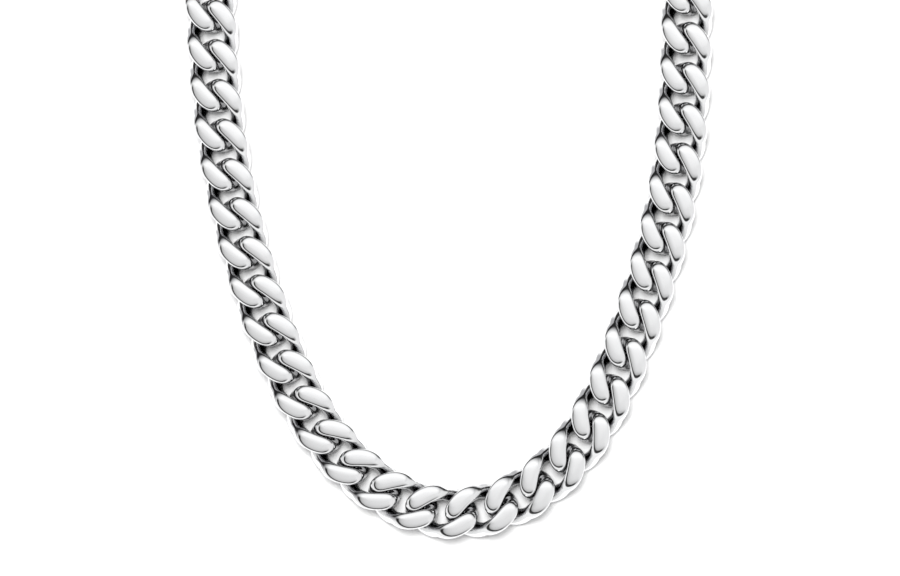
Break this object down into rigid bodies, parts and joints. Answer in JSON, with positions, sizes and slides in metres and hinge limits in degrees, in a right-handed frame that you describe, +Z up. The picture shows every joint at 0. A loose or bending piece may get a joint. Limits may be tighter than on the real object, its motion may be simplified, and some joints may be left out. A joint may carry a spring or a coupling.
{
  "type": "curb chain necklace",
  "caption": "Closed loop of twisted, pressed and ground curb links with a plain box clasp behind, lying flat; worn round the neck.",
  "frame": {"origin": "middle of the loop's outline, on the surface that the chain lies on", "axes": "+Z up from that surface, +Y from the front of the loop to the clasp behind, +X to the right in the picture"},
  "size_m": [0.1276, 0.2078, 0.0054],
  "materials": {
    "link_steel": "polished",
    "clasp_steel": "polished"
  },
  "bodies": {
    "root": {"link_01": "link_steel", "link_02": "link_steel", "link_03": "link_steel", "link_04": "link_steel", "link_05": "link_steel", "link_06": "link_steel", "link_07": "link_steel", "link_08": "link_steel", "link_09": "link_steel", "link_10": "link_steel", "link_11": "link_steel", "link_12": "link_steel", "link_13": "link_steel", "link_14": "link_steel", "link_15": "link_steel", "link_16": "link_steel", "link_17": "link_steel", "link_18": "link_steel", "link_19": "link_steel", "link_20": "link_steel", "link_21": "link_steel", "link_22": "link_steel", "link_23": "link_steel", "link_24": "link_steel", "link_25": "link_steel", "link_26": "link_steel", "link_27": "link_steel", "link_28": "link_steel", "link_29": "link_steel", "link_30": "link_steel", "link_31": "link_steel", "link_32": "link_steel", "back_chain": "link_steel", "clasp": "clasp_steel"}
  },
  "joints": []
}
